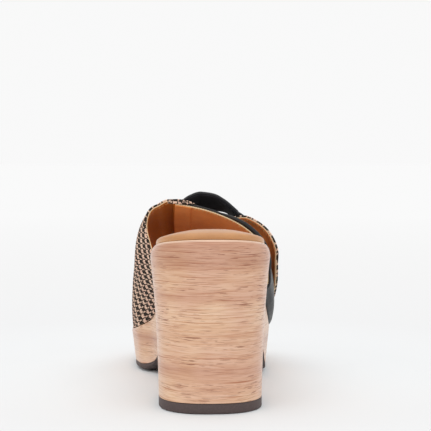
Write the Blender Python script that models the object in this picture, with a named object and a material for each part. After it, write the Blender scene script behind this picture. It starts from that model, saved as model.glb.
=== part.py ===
"""Open-back platform mule for a right foot, EU 38, in metres with +Z up.

The toe points along +Y and +X is the lateral side.  Sizes below are measured from the
back of the heel, on the floor, and the whole shoe is centred over the origin at the end.
"""

import bpy
import bmesh
import numpy as np

MM = 0.001
GAP = 0.3 * MM

# Wood-look sole with its block heel
SOLE_LENGTH = 236 * MM
HEEL_CAP = 34 * MM
HEEL_CAP_POWER = 2.35
TOE_CAP = 46 * MM
TOE_CAP_POWER = 2.35
HEEL_TAPER = 4.5 * MM
PLATFORM_TAPER = 2.3 * MM
FLARE_LINEAR = 0.35
FLARE_POWER = 2.5
SHOULDER_STRETCH = 1.7
SOLE_COLUMNS = ("y", "medial", "lateral", "top", "shoulder")
SOLE_TABLE = (
    (0, 32.4, 33.0, 92.6, 2.4),
    (34, 32.6, 33.0, 87.2, 3.8),
    (64, 30.8, 32.6, 79.2, 3.0),
    (86, 28.8, 33.0, 66.0, 1.0),
    (108, 28.2, 36.6, 50.5, 0.8),
    (130, 31.6, 40.6, 36.2, 0.8),
    (150, 42.0, 42.8, 27.6, 0.8),
    (168, 44.8, 42.6, 24.8, 0.8),
    (188, 44.3, 40.4, 24.8, 0.8),
    (212, 41.0, 36.6, 26.6, 0.8),
    (236, 38.0, 33.0, 30.5, 0.8),
)

# Underside: heel breast, arch and toe spring
HEEL_BREAST = 63 * MM
BREAST_TOP = 30 * MM
ARCH_PEAK = 77 * MM
ARCH_RISE = 41 * MM
ARCH_END = 146.5 * MM
SPRING_START = 190 * MM
SPRING_RISE = 9 * MM

# Rubber under the heel and the forefoot, and the leather-covered insole
HEEL_TIP = 5.6 * MM
OUTSOLE = 4.8 * MM
OUTSOLE_START = 123 * MM
OUTSOLE_SKIVE = 22 * MM
OUTSOLE_ROLL_IN = 8 * MM
OUTSOLE_ROLL_UP = 2.3 * MM
ROLLED_SHARE = 0.6
SKIVED_SHARE = 0.3
INSOLE_CLEAR = 0.4 * MM
INSOLE_EDGE = 3.0 * MM
INSOLE_CROWN = 1.9 * MM
CROWN_REACH = 12 * MM
CROWN_POWER = 2.2

# Last: the inside of the upper, a ridge line with a boxy medial and a sloping lateral side
MEDIAL_INSET = 2.8 * MM
MEDIAL_TUCK = 2.5
LATERAL_TUCK = 24.0
LAST_COLUMNS = (
    "y", "ridge_x", "ridge_z", "medial", "lateral", "medial_square", "slope", "wall", "lateral_inset"
)
LAST_TABLE = (
    (70, -18.0, 122.9, 31.5, 34.5, 3.6, 1.20, 3.80, 2.8),
    (95, -17.5, 111.2, 33.6, 36.8, 4.6, 1.20, 3.85, 2.8),
    (105, -17.0, 106.6, 36.4, 38.2, 4.9, 1.20, 3.85, 2.8),
    (120, -16.0, 99.3, 41.4, 41.4, 4.4, 1.25, 3.60, 2.8),
    (135, -14.5, 91.8, 43.6, 42.8, 3.4, 1.35, 3.40, 2.8),
    (150, -13.0, 83.5, 44.2, 43.0, 3.0, 1.50, 3.20, 3.0),
    (175, -9.5, 69.5, 43.5, 39.8, 2.7, 1.80, 2.60, 5.0),
    (205, -6.0, 56.0, 39.6, 36.0, 2.4, 2.00, 2.30, 2.8),
)

# Upper pieces, by girth: -1 at the medial feather line, 0 on the ridge, 1 at the lateral one
WALL = 2.2 * MM
STRAP_WALL = 2.4 * MM
FABRIC_COLUMNS = ("girth", "back", "front", "lift")
FABRIC_TABLE = (
    (-1.00, 90.0, 196, 0.0),
    (-0.70, 93.0, 193, 0.0),
    (-0.55, 97.5, 191, 0.0),
    (-0.40, 102.5, 188, 0.0),
    (-0.20, 105.5, 183, 0.0),
    (-0.06, 106.0, 179, 0.0),
    (0.06, 105.5, 177, 0.0),
    (0.12, 108.0, 176, 0.0),
    (0.17, 115.0, 176, 0.0),
    (0.22, 122.0, 175, 0.2),
    (0.28, 122.5, 174, 1.2),
    (0.36, 116.0, 174, 4.2),
    (0.45, 113.0, 175, 7.4),
    (0.54, 112.0, 176, 7.6),
    (0.66, 113.0, 177, 5.4),
    (0.71, 116.0, 178, 2.6),
    (0.76, 134.0, 178, 0.7),
    (0.80, 157.0, 179, 0.0),
    (0.90, 166.0, 180, 0.0),
    (1.00, 169.0, 181, 0.0),
)
PANEL_SWEEP = 0.065
PANEL_COLUMNS = ("girth", "back", "front")
PANEL_TABLE = (
    (-0.01, 104, 168),
    (0.25, 103, 168),
    (0.50, 103, 168),
    (0.75, 103, 169),
    (1.00, 104, 172),
)
LOOP_COLUMNS = ("girth", "centre", "half_width", "off", "tilt")
LOOP_TABLE = (
    (-0.065, 124.5, 2.5, 0.0, 0.0),
    (-0.05, 124.3, 5.4, 0.0, 0.0),
    (-0.02, 123.6, 8.2, 2.0, 0.0),
    (0.01, 122.3, 9.5, 4.0, 0.0),
    (0.04, 121.0, 10.0, 5.7, 0.0),
    (0.08, 119.5, 10.3, 8.6, 0.5),
    (0.14, 118.0, 10.6, 11.2, 0.4),
    (0.22, 118.0, 11.0, 11.9, 1.8),
    (0.28, 120.5, 11.2, 11.6, 3.8),
    (0.34, 124.0, 11.5, 10.6, 2.6),
    (0.42, 131.0, 12.0, 10.0, 0.0),
    (0.55, 147.0, 12.8, 7.6, 0.0),
    (0.70, 170.0, 13.0, 5.4, 0.0),
    (0.85, 190.0, 12.0, 4.2, 0.0),
    (1.00, 204.0, 9.0, 0.3, 0.0),
)
FLAP_FALL = 19 * MM
LAP_CLEAR = 0.5 * MM
LOOP_CLEAR = 0.8 * MM


def smooth_step(low, high, value):
    """0 below low, 1 above high, with level ends."""
    share = np.clip((value - low) / (high - low), 0.0, 1.0)
    return share * share * (3.0 - 2.0 * share)


def column(table, columns, name, at):
    """A column of a table at one place, by a cubic that never overshoots its rows."""
    places = [row[0] for row in table]
    values = [row[columns.index(name)] for row in table]
    at = min(max(at, places[0]), places[-1])
    spans = np.diff(places)
    slopes = np.diff(values) / spans
    tangents = np.zeros(len(places))
    for i in range(1, len(places) - 1):
        before, after = slopes[i - 1], slopes[i]
        if before * after > 0:
            tangents[i] = 2.0 * before * after / (before + after)
    tangents[0], tangents[-1] = slopes[0], slopes[-1]
    i = min(int(np.searchsorted(places, at, side="right")) - 1, len(spans) - 1)
    u = (at - places[i]) / spans[i]
    start = (1 + 2 * u) * (1 - u) ** 2 * values[i] + u * (1 - u) ** 2 * spans[i] * tangents[i]
    end = u * u * (3 - 2 * u) * values[i + 1] + u * u * (u - 1) * spans[i] * tangents[i + 1]
    return start + end


def sole_size(name, y):
    """A column of the sole's table, in metres, at y metres from the back of the heel."""
    return column(SOLE_TABLE, SOLE_COLUMNS, name, y / MM) * MM


def side_top(y):
    """Height at which the wood's side turns over into its rounded top edge."""
    return sole_size("top", y) - SHOULDER_STRETCH * sole_size("shoulder", y)


def cap_share(y):
    """How much of the sole's width is left at y, as the heel and the toe round off."""
    if y < HEEL_CAP:
        return (1.0 - (1.0 - y / HEEL_CAP) ** HEEL_CAP_POWER) ** (1.0 / HEEL_CAP_POWER)
    into_toe = (y - (SOLE_LENGTH - TOE_CAP)) / TOE_CAP
    if into_toe > 0.0:
        return max(0.0, 1.0 - into_toe**TOE_CAP_POWER) ** (1.0 / TOE_CAP_POWER)
    return 1.0


def underside(y):
    """Height of the wood's bottom: heel seat, breast, arch, forefoot and toe spring."""
    if y <= HEEL_BREAST:
        return HEEL_TIP
    if y < ARCH_PEAK:
        top = OUTSOLE + ARCH_RISE
        along = (ARCH_PEAK - y) / (ARCH_PEAK - HEEL_BREAST)
        return BREAST_TOP + (top - BREAST_TOP) * np.sqrt(max(0.0, 1.0 - along * along))
    if y < ARCH_END:
        along = (y - ARCH_PEAK) / (ARCH_END - ARCH_PEAK)
        return OUTSOLE + ARCH_RISE * 0.5 * (1.0 + np.cos(np.pi * along))
    spring = max(0.0, y - SPRING_START) / (SOLE_LENGTH - SPRING_START)
    return OUTSOLE + SPRING_RISE * spring * spring


def stations(start=0.0, end=SOLE_LENGTH, step=8 * MM):
    """Places along the sole: close together at its round ends and round the heel breast."""
    ends = 0.5 * (1.0 - np.cos(np.linspace(0.0, np.pi / 2, 10)))
    heel = ends * 2.0 * HEEL_CAP
    toe = SOLE_LENGTH - ends * 2.0 * TOE_CAP
    middle = np.arange(HEEL_CAP + step, SOLE_LENGTH - TOE_CAP - step / 2, step)
    breast = HEEL_BREAST + np.array([0.0, 0.4, 1.6, 4.0, 8.0, 14.0]) * MM
    middle = middle[(middle < HEEL_BREAST - step / 3) | (middle > ARCH_PEAK + step / 3)]
    places = np.unique(np.round(np.concatenate([heel, toe, middle, breast]), 7))
    inside = places[(places > start + 0.3 * MM) & (places < end - 0.3 * MM)]
    return np.concatenate([[start], inside, [end]])


def edge_side(places, side, sign, inset):
    """Plan points of one side of the sole's edge, moved in by inset(y) square to the edge."""
    edge = np.array([(sign * sole_size(side, y) * cap_share(y), y) for y in places])
    along = np.gradient(edge, axis=0)
    for end in (0, -1):
        if abs(edge[end, 0]) < GAP:
            along[end] = (sign if end == 0 else -sign, 0.0)
    along /= np.linalg.norm(along, axis=1, keepdims=True)
    inward = np.stack([-sign * along[:, 1], sign * along[:, 0]], axis=1)
    return edge + inward * np.array([[inset(y)] for y in places])


def side_inset(y, z):
    """How far the wood's side stands inside its top edge at height z: flared heel, leaning platform."""
    bottom = HEEL_TIP if y < ARCH_PEAK else OUTSOLE
    up = np.clip((z - bottom) / (side_top(y) - bottom), 0.0, 1.0)
    flare = FLARE_LINEAR * up + (1.0 - FLARE_LINEAR) * up**FLARE_POWER
    forefoot = smooth_step(ARCH_PEAK, ARCH_END, y)
    taper = HEEL_TAPER + (PLATFORM_TAPER - HEEL_TAPER) * forefoot
    return taper * (1.0 - (flare + (up - flare) * forefoot))


def ring_at(places, height, inset):
    """A closed ring of points round the sole: medial side forward, lateral side back."""
    medial = edge_side(places, "medial", -1.0, inset)
    lateral = edge_side(places, "lateral", 1.0, inset)
    heights = np.array([height(y) for y in places])
    sides = [np.column_stack([side, heights]) for side in (medial, lateral)]
    return np.concatenate([sides[0], sides[1][::-1]])


def finish_mesh(name, bm, colour, roughness, sharp_angle=40.0):
    """Turns a bmesh into a named, smooth-shaded object with its own material."""
    bmesh.ops.remove_doubles(bm, verts=bm.verts, dist=1e-6)
    bmesh.ops.recalc_face_normals(bm, faces=bm.faces)
    if bm.calc_volume(signed=True) < 0:
        bmesh.ops.reverse_faces(bm, faces=bm.faces)
    mesh = bpy.data.meshes.new(name)
    bm.to_mesh(mesh)
    bm.free()
    mesh.shade_smooth()
    mesh.set_sharp_from_angle(angle=np.radians(sharp_angle))
    material = bpy.data.materials.new(name)
    material.use_nodes = True
    shader = material.node_tree.nodes["Principled BSDF"]
    shader.inputs["Base Color"].default_value = (*colour, 1.0)
    shader.inputs["Roughness"].default_value = roughness
    shader.inputs["Metallic"].default_value = 0.0
    mesh.materials.append(material)
    obj = bpy.data.objects.new(name, mesh)
    bpy.context.scene.collection.objects.link(obj)
    return obj


def stack(name, rings, colour, roughness):
    """A closed solid from rings of equal length, the first at the bottom and the last on top."""
    bm = bmesh.new()
    rows = [[bm.verts.new(point) for point in ring] for ring in rings]
    count = len(rows[0])
    for low, high in zip(rows, rows[1:]):
        for i in range(count):
            j = (i + 1) % count
            bm.faces.new((low[i], low[j], high[j], high[i]))
    for row in (rows[0], rows[-1]):
        for i in range(count // 2 - 1):
            bm.faces.new((row[i], row[i + 1], row[count - 2 - i], row[count - 1 - i]))
    return finish_mesh(name, bm, colour, roughness)


def wood_sole():
    """One block of wood-look sole: flared heel, arch, platform, and a rounded top edge."""
    places = stations()
    rings = []
    for up in (0.0, 0.25, 0.5, 0.7, 0.87, 1.0):
        def height(y, up=up):
            return underside(y) + up * (side_top(y) - underside(y))

        rings.append(ring_at(places, height, lambda y: side_inset(y, height(y))))
    for turn in np.radians((30.0, 60.0, 90.0)):
        rings.append(
            ring_at(
                places,
                lambda y: side_top(y) + SHOULDER_STRETCH * sole_size("shoulder", y) * np.sin(turn),
                lambda y: sole_size("shoulder", y) * (1.0 - np.cos(turn)),
            )
        )
    return stack("wood_sole", rings, (0.60, 0.37, 0.23), 0.45)


def heel_tip():
    """Rubber top piece under the block heel."""
    places = stations(end=HEEL_BREAST)

    def flush(y):
        return side_inset(y, HEEL_TIP)

    rings = [
        ring_at(places, lambda y: 0.0, lambda y: flush(y) + 0.6 * MM),
        ring_at(places, lambda y: 0.6 * MM, flush),
        ring_at(places, lambda y: HEEL_TIP - GAP, flush),
    ]
    return stack("heel_tip", rings, (0.075, 0.055, 0.052), 0.6)


def outsole():
    """Rubber sheet under the forefoot, skived thin into the arch, its lower edge rolled up."""
    places = stations(start=OUTSOLE_START)

    def thick(y):
        skive = smooth_step(OUTSOLE_START, OUTSOLE_START + OUTSOLE_SKIVE, y)
        return OUTSOLE * (SKIVED_SHARE + (1.0 - SKIVED_SHARE) * skive)

    def rolled(y, turn):
        rise = min(OUTSOLE_ROLL_UP, ROLLED_SHARE * thick(y)) * (1.0 - np.cos(turn))
        return underside(y) - thick(y) + rise

    def flush(y):
        return side_inset(y, underside(y))

    rings = []
    for turn in np.radians((0.0, 30.0, 60.0, 90.0)):
        inset = OUTSOLE_ROLL_IN * (1.0 - np.sin(turn))
        rings.append(ring_at(places, lambda y: rolled(y, turn), lambda y: flush(y) + inset))
    rings.append(ring_at(places, lambda y: underside(y) - GAP, flush))
    return stack("outsole", rings, (0.075, 0.055, 0.052), 0.6)


def insole():
    """Padded, leather-covered insole with a domed edge, just inside the upper's feather line."""
    places = stations()

    def height(lift):
        return lambda y: sole_size("top", y) + lift

    def edge(y):
        return column(LAST_TABLE, LAST_COLUMNS, "lateral_inset", y / MM) * MM + INSOLE_CLEAR

    rings = [ring_at(places, height(GAP), edge)]
    for share in (0.0, 0.15, 0.35, 0.6, 1.0):
        lift = INSOLE_EDGE + INSOLE_CROWN * (1.0 - (1.0 - share) ** CROWN_POWER)
        rings.append(ring_at(places, height(lift), lambda y: edge(y) + CROWN_REACH * share))
    return stack("insole", rings, (0.52, 0.27, 0.12), 0.5)


def last_point(y, girth):
    """A point of the last's surface: y along the foot, girth across it."""
    size = {name: column(LAST_TABLE, LAST_COLUMNS, name, y / MM) for name in LAST_COLUMNS}
    side, name = (-1.0, "medial") if girth < 0 else (1.0, "lateral")
    across, up = (size["medial_square"],) * 2 if girth < 0 else (size["slope"], size["wall"])
    tuck = MEDIAL_TUCK if girth < 0 else LATERAL_TUCK
    bulge = size[name] * MM
    ridge_x, ridge_z = size["ridge_x"] * MM, size["ridge_z"] * MM
    base = sole_size("top", y) + GAP
    feather = sole_size(name, y) - (MEDIAL_INSET if girth < 0 else size["lateral_inset"] * MM)
    turn = np.linspace(0.0, np.pi / 2, 121)
    reach = np.sin(turn) ** (2.0 / across)
    rise = np.clip(np.cos(turn), 0.0, 1.0) ** (2.0 / up)
    span = bulge - side * ridge_x
    x = ridge_x + side * (span * reach - (bulge - feather) * (1.0 - rise) ** tuck)
    z = base + (ridge_z - base) * rise
    steps = np.hypot(np.diff(x), np.diff(z))
    length = np.concatenate([[0.0], np.cumsum(steps)])
    at = min(abs(girth), 1.0) * length[-1]
    return np.array((np.interp(at, length, x), y, np.interp(at, length, z)))


def last_normal(y, girth):
    """The outward direction of the last's surface."""
    dy, dg = 0.5 * MM, 0.01
    along = last_point(y + dy, girth) - last_point(y - dy, girth)
    low, high = max(girth - dg, -1.0), min(girth + dg, 1.0)
    across = last_point(y, high) - last_point(y, low)
    normal = np.cross(across, along)
    normal = normal if normal[2] > 0 or normal[0] * girth > 0 else -normal
    return normal / np.linalg.norm(normal)


def fabric_edge(name, girth):
    return column(FABRIC_TABLE, FABRIC_COLUMNS, name, girth) * MM


def fabric_height(y, girth):
    """How far the fabric's inside stands off the last: over the panel, with a lifted back edge."""
    lap = (WALL + LAP_CLEAR) * smooth_step(-0.17, -0.07, girth)
    from_edge = max(0.0, y - fabric_edge("back", girth))
    lift = fabric_edge("lift", girth) * (1.0 - smooth_step(0.0, FLAP_FALL, from_edge))
    return lap + lift


def loop_height(y, girth, off):
    """How far the loop's inside stands off the last, off mm or as much as clears the fabric."""
    past_front = smooth_step(3 * MM, 12 * MM, y - fabric_edge("front", girth))
    over = (fabric_height(y, girth) + WALL + LOOP_CLEAR) * (1.0 - past_front)
    return max(off * MM, over)


def grid_normals(grid):
    """Unit normals of a grid of points, pointing off the last."""
    across = np.gradient(grid, axis=0)
    along = np.gradient(grid, axis=1)
    normals = np.cross(across, along)
    return normals / np.linalg.norm(normals, axis=2, keepdims=True)


def rest_on_sole(points):
    """Keeps a wall's foot on the wood's top edge, however far the wall leans."""
    for point in points.reshape(-1, 3):
        point[2] = max(point[2], sole_size("top", point[1]) + GAP)
    return points


def shell(name, inner, wall, colour, roughness):
    """A closed wall of even thickness on a grid of inside points, with a rounded rim."""
    normals = grid_normals(inner)
    outer = rest_on_sole(inner + normals * wall)
    inner = rest_on_sole(inner.copy())
    rows, cols = inner.shape[:2]
    rim = [(i, 0) for i in range(rows)] + [(rows - 1, j) for j in range(1, cols)]
    rim += [(i, cols - 1) for i in range(rows - 2, -1, -1)] + [(0, j) for j in range(cols - 2, 0, -1)]
    bm = bmesh.new()
    inside = [[bm.verts.new(p) for p in row] for row in inner]
    outside = [[bm.verts.new(p) for p in row] for row in outer]
    for i in range(rows - 1):
        for j in range(cols - 1):
            bm.faces.new((inside[i][j], inside[i][j + 1], inside[i + 1][j + 1], inside[i + 1][j]))
            bm.faces.new((outside[i][j], outside[i + 1][j], outside[i + 1][j + 1], outside[i][j + 1]))
    nose = []
    for i, j in rim:
        near = inner[min(max(i, 1), rows - 2), min(max(j, 1), cols - 2)]
        middle = 0.5 * (inner[i, j] + outer[i, j])
        away = inner[i, j] - near
        away -= normals[i, j] * np.dot(away, normals[i, j])
        point = middle + away / np.linalg.norm(away) * wall * 0.3
        at_feather = i in (0, rows - 1) and abs(middle[2] - sole_size("top", middle[1])) < 3 * MM
        nose.append(bm.verts.new(middle if at_feather else point))
    for k, (i, j) in enumerate(rim):
        following = (k + 1) % len(rim)
        p, q = rim[following]
        bm.faces.new((inside[i][j], nose[k], nose[following], inside[p][q]))
        bm.faces.new((nose[k], outside[i][j], outside[p][q], nose[following]))
    return finish_mesh(name, bm, colour, roughness, 50.0)


def surface_grid(girths, edges, height, rows, sweep=0.0):
    """Inside points over the last: rows of one girth, or swept to the medial side, from back to front."""
    grid = []
    for girth in girths:
        back, front = edges(girth)
        line = []
        for share in np.linspace(0.0, 1.0, rows):
            y = back + (front - back) * share
            at = girth - sweep * share * (1.0 - girth)
            line.append(last_point(y, at) + last_normal(y, at) * height(y, at))
        grid.append(line)
    return np.array(grid)


def fabric_upper():
    """The woven band: medial wall, over the ridge, under the loop and down the lateral side."""
    spans = ((-1.0, -0.2, 15), (-0.15, 0.4, 16), (0.45, 1.0, 13))
    girths = np.concatenate([np.linspace(*span) for span in spans])

    def edges(girth):
        return [fabric_edge(name, girth) for name in ("back", "front")]

    grid = surface_grid(girths, edges, fabric_height, 12)
    return shell("fabric_upper", grid, WALL, (0.35, 0.26, 0.18), 0.8)


def lateral_panel():
    """The lined leather panel under the woven band, from the ridge down the lateral side."""
    girths = np.linspace(PANEL_TABLE[0][0], 1.0, 22)

    def edges(girth):
        return [column(PANEL_TABLE, PANEL_COLUMNS, name, girth) * MM for name in ("back", "front")]

    grid = surface_grid(girths, edges, lambda y, g: 0.0, 7, PANEL_SWEEP)
    return shell("lateral_panel", grid, WALL, (0.03, 0.03, 0.032), 0.4)


def loop_strap():
    """The leather strap that stands up off the woven band at the ridge and loops over it."""
    girths = np.concatenate([np.linspace(LOOP_TABLE[0][0], 0.22, 17), np.linspace(0.25, 1.0, 20)])
    grid = []
    for girth in girths:
        centre, half, off, tilt = (
            column(LOOP_TABLE, LOOP_COLUMNS, name, girth) for name in LOOP_COLUMNS[1:]
        )
        line = []
        for share in np.linspace(0.0, 1.0, 7):
            y = (centre + (2.0 * share - 1.0) * half) * MM
            height = loop_height(y, girth, off + tilt * share)
            line.append(last_point(y, girth) + last_normal(y, girth) * height)
        grid.append(line)
    return shell("loop_strap", np.array(grid), STRAP_WALL, (0.03, 0.03, 0.032), 0.4)


def centre_on_origin(pieces):
    """Hangs the pieces on one empty, moved so that the shoe stands centred on the origin."""
    corners = np.array([v.co for piece in pieces for v in piece.data.vertices])
    low, high = corners.min(axis=0), corners.max(axis=0)
    root = bpy.data.objects.new("mule", None)
    bpy.context.scene.collection.objects.link(root)
    root.location = (-(low[0] + high[0]) / 2, -(low[1] + high[1]) / 2, -low[2])
    for piece in pieces:
        piece.parent = root


def main():
    for obj in list(bpy.data.objects):
        bpy.data.objects.remove(obj, do_unlink=True)
    pieces = [
        wood_sole(),
        heel_tip(),
        outsole(),
        insole(),
        fabric_upper(),
        lateral_panel(),
        loop_strap(),
    ]
    centre_on_origin(pieces)


main()
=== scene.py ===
"""Looks of the platform mule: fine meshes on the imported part, materials, studio light and camera.

Sizes are in metres in the shoe's own frame, measured from the back of the heel on the floor, with
the toe along +Y and the lateral side along +X.  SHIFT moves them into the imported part's frame.
"""

import bmesh
import bpy
import numpy as np
from mathutils import Matrix, Vector


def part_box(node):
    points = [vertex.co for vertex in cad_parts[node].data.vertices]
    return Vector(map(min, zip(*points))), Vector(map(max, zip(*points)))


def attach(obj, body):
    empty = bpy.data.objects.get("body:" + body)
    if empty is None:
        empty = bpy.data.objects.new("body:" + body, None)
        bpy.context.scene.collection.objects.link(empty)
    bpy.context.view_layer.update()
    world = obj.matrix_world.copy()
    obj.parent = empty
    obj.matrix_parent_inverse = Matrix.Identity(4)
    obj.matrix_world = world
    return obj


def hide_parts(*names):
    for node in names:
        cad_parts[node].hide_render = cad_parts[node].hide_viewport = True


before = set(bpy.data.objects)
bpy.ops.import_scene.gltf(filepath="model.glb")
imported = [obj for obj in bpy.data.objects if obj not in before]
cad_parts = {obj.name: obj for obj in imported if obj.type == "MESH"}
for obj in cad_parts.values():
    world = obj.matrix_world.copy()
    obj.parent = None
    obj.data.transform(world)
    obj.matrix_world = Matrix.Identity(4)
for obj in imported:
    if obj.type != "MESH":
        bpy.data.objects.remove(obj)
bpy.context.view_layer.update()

MM = 0.001
GAP = 0.3 * MM

# Sole, as in the part's source
SOLE_LENGTH = 236 * MM
HEEL_CAP, HEEL_CAP_POWER = 34 * MM, 2.35
TOE_CAP, TOE_CAP_POWER = 46 * MM, 2.35
HEEL_TAPER, PLATFORM_TAPER = 4.5 * MM, 2.3 * MM
FLARE_LINEAR, FLARE_POWER = 0.35, 2.5
SHOULDER_STRETCH = 1.7
SOLE_COLUMNS = ("y", "medial", "lateral", "top", "shoulder")
SOLE_TABLE = (
    (0, 32.4, 33.0, 92.6, 2.4),
    (34, 32.6, 33.0, 87.2, 3.8),
    (64, 30.8, 32.6, 79.2, 3.0),
    (86, 28.8, 33.0, 66.0, 1.0),
    (108, 28.2, 36.6, 50.5, 0.8),
    (130, 31.6, 40.6, 36.2, 0.8),
    (150, 42.0, 42.8, 27.6, 0.8),
    (168, 44.8, 42.6, 24.8, 0.8),
    (188, 44.3, 40.4, 24.8, 0.8),
    (212, 41.0, 36.6, 26.6, 0.8),
    (236, 38.0, 33.0, 30.5, 0.8),
)
HEEL_BREAST, BREAST_TOP = 63 * MM, 30 * MM
ARCH_PEAK, ARCH_RISE, ARCH_END = 77 * MM, 41 * MM, 146.5 * MM
SPRING_START, SPRING_RISE = 190 * MM, 9 * MM
HEEL_TIP, OUTSOLE, OUTSOLE_START = 5.6 * MM, 4.8 * MM, 123 * MM
OUTSOLE_SKIVE, SKIVED_SHARE = 22 * MM, 0.3
OUTSOLE_ROLL_IN, OUTSOLE_ROLL_UP, ROLLED_SHARE = 8 * MM, 2.3 * MM, 0.6
HEEL_TIP_ROUND = 0.6 * MM
INSOLE_CLEAR, INSOLE_EDGE = 0.4 * MM, 3.0 * MM
INSOLE_CROWN, CROWN_REACH, CROWN_POWER = 1.9 * MM, 12 * MM, 2.2

# Last and upper, as in the part's source
MEDIAL_INSET = 2.8 * MM
MEDIAL_TUCK, LATERAL_TUCK = 2.5, 24.0
LAST_COLUMNS = (
    "y", "ridge_x", "ridge_z", "medial", "lateral", "medial_square", "slope", "wall", "lateral_inset"
)
LAST_TABLE = (
    (70, -18.0, 122.9, 31.5, 34.5, 3.6, 1.20, 3.80, 2.8),
    (95, -17.5, 111.2, 33.6, 36.8, 4.6, 1.20, 3.85, 2.8),
    (105, -17.0, 106.6, 36.4, 38.2, 4.9, 1.20, 3.85, 2.8),
    (120, -16.0, 99.3, 41.4, 41.4, 4.4, 1.25, 3.60, 2.8),
    (135, -14.5, 91.8, 43.6, 42.8, 3.4, 1.35, 3.40, 2.8),
    (150, -13.0, 83.5, 44.2, 43.0, 3.0, 1.50, 3.20, 3.0),
    (175, -9.5, 69.5, 43.5, 39.8, 2.7, 1.80, 2.60, 5.0),
    (205, -6.0, 56.0, 39.6, 36.0, 2.4, 2.00, 2.30, 2.8),
)
WALL, STRAP_WALL = 2.2 * MM, 2.4 * MM
FABRIC_COLUMNS = ("girth", "back", "front", "lift")
FABRIC_TABLE = (
    (-1.00, 90.0, 196, 0.0),
    (-0.70, 93.0, 193, 0.0),
    (-0.55, 97.5, 191, 0.0),
    (-0.40, 102.5, 188, 0.0),
    (-0.20, 105.5, 183, 0.0),
    (-0.06, 106.0, 179, 0.0),
    (0.06, 105.5, 177, 0.0),
    (0.12, 108.0, 176, 0.0),
    (0.17, 115.0, 176, 0.0),
    (0.22, 122.0, 175, 0.2),
    (0.28, 122.5, 174, 1.2),
    (0.36, 116.0, 174, 4.2),
    (0.45, 113.0, 175, 7.4),
    (0.54, 112.0, 176, 7.6),
    (0.66, 113.0, 177, 5.4),
    (0.71, 116.0, 178, 2.6),
    (0.76, 134.0, 178, 0.7),
    (0.80, 157.0, 179, 0.0),
    (0.90, 166.0, 180, 0.0),
    (1.00, 169.0, 181, 0.0),
)
PANEL_SWEEP = 0.065
PANEL_COLUMNS = ("girth", "back", "front")
PANEL_TABLE = (
    (-0.01, 104, 168),
    (0.25, 103, 168),
    (0.50, 103, 168),
    (0.75, 103, 169),
    (1.00, 104, 172),
)
LOOP_COLUMNS = ("girth", "centre", "half_width", "off", "tilt")
LOOP_TABLE = (
    (-0.065, 124.5, 2.5, 0.0, 0.0),
    (-0.05, 124.3, 5.4, 0.0, 0.0),
    (-0.02, 123.6, 8.2, 2.0, 0.0),
    (0.01, 122.3, 9.5, 4.0, 0.0),
    (0.04, 121.0, 10.0, 5.7, 0.0),
    (0.08, 119.5, 10.3, 8.6, 0.5),
    (0.14, 118.0, 10.6, 11.2, 0.4),
    (0.22, 118.0, 11.0, 11.9, 1.8),
    (0.28, 120.5, 11.2, 11.6, 3.8),
    (0.34, 124.0, 11.5, 10.6, 2.6),
    (0.42, 131.0, 12.0, 10.0, 0.0),
    (0.55, 147.0, 12.8, 7.6, 0.0),
    (0.70, 170.0, 13.0, 5.4, 0.0),
    (0.85, 190.0, 12.0, 4.2, 0.0),
    (1.00, 204.0, 9.0, 0.3, 0.0),
)
FLAP_FALL, LAP_CLEAR, LOOP_CLEAR = 19 * MM, 0.5 * MM, 0.8 * MM

# Looks
LINING = 0.65 * MM
PIPING = 0.42 * MM
REPEAT_ACROSS, REPEAT_ALONG = 3.15 * MM, 7.2 * MM
RIDGE_FALL = np.radians(27.9)
THREADS_PER_REPEAT, DARK_THREADS = 8, 5
HEM_GIRTHS, HEM_FOOT, HEM_WALL = (-0.075, 0.13), 0.75 * MM, 0.5 * MM
FACING = 0.6 * MM
ROLL = 1.5 * MM
FLAP_SEAM = 0.16
LOOP_LINING = 0.5 * MM
INSOLE_ROLL = 0.8 * MM
BEAD = 1.5 * MM
STITCH_PITCH, STITCH_LENGTH, STITCH_RADIUS = 2.4 * MM, 1.7 * MM, 0.24 * MM
EDGE_TO_STITCH = 1.5 * MM
STITCH_PROFILE = ((0.0, 0.35), (0.15, 0.85), (0.5, 1.0), (0.85, 0.85), (1.0, 0.35))
STITCH_ARCH, STITCH_SINK, STITCH_PROBE, STITCH_SIDES = 0.9, 0.35, 0.2 * MM, 6
BEAD_NECK, BEAD_SWELL, BEAD_STEPS = 0.75, 0.4, 6
PLY_GAP = 0.05 * MM
LAP_GIRTHS = (-0.17, -0.07)
LOOP_LANDING = (3 * MM, 12 * MM)
FEATHER_REACH = 3 * MM
# Painted highlight on the wood's top edge: the depths below the top and the places along the sole over
# which it fades out
PAINTED_HIGHLIGHT_EDGE, PAINTED_HIGHLIGHT_HEEL = (1.3 * MM, 0.3 * MM), (90 * MM, 60 * MM)
RUBBER_BEVEL_UP, RUBBER_BEVEL_IN = 0.25 * MM, 0.2 * MM
INSOLE_PROFILE = ((0.03, 1.0), (0.12, 0.4), (0.3, 0.05), (0.6, 0.0), (0.85, 0.25), (0.97, 0.7))
CROWN_SHARES = (0.1, 0.18, 0.28, 0.4, 0.54, 0.7, 0.86, 1.0)
INSOLE_FOLD = (1.5 * MM, 0.6 * MM)
HEM_SPREAD, HEM_LEAN_FROM = (0.5, 1.0), 0.8
FOLD_ROWS, FACING_ROWS, FACING_GAP = 4, 14, 0.02 * MM
PIPING_DEPTH = 0.6
ROLL_GIRTHS, ROLL_GROWS, ROLL_FADES = (0.20, 0.93), (0.10, 0.50), (0.7, 0.97)
BAND_STITCH_ROWS, PANEL_STITCH_ROWS = slice(4, -4), slice(15, -3)

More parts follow.
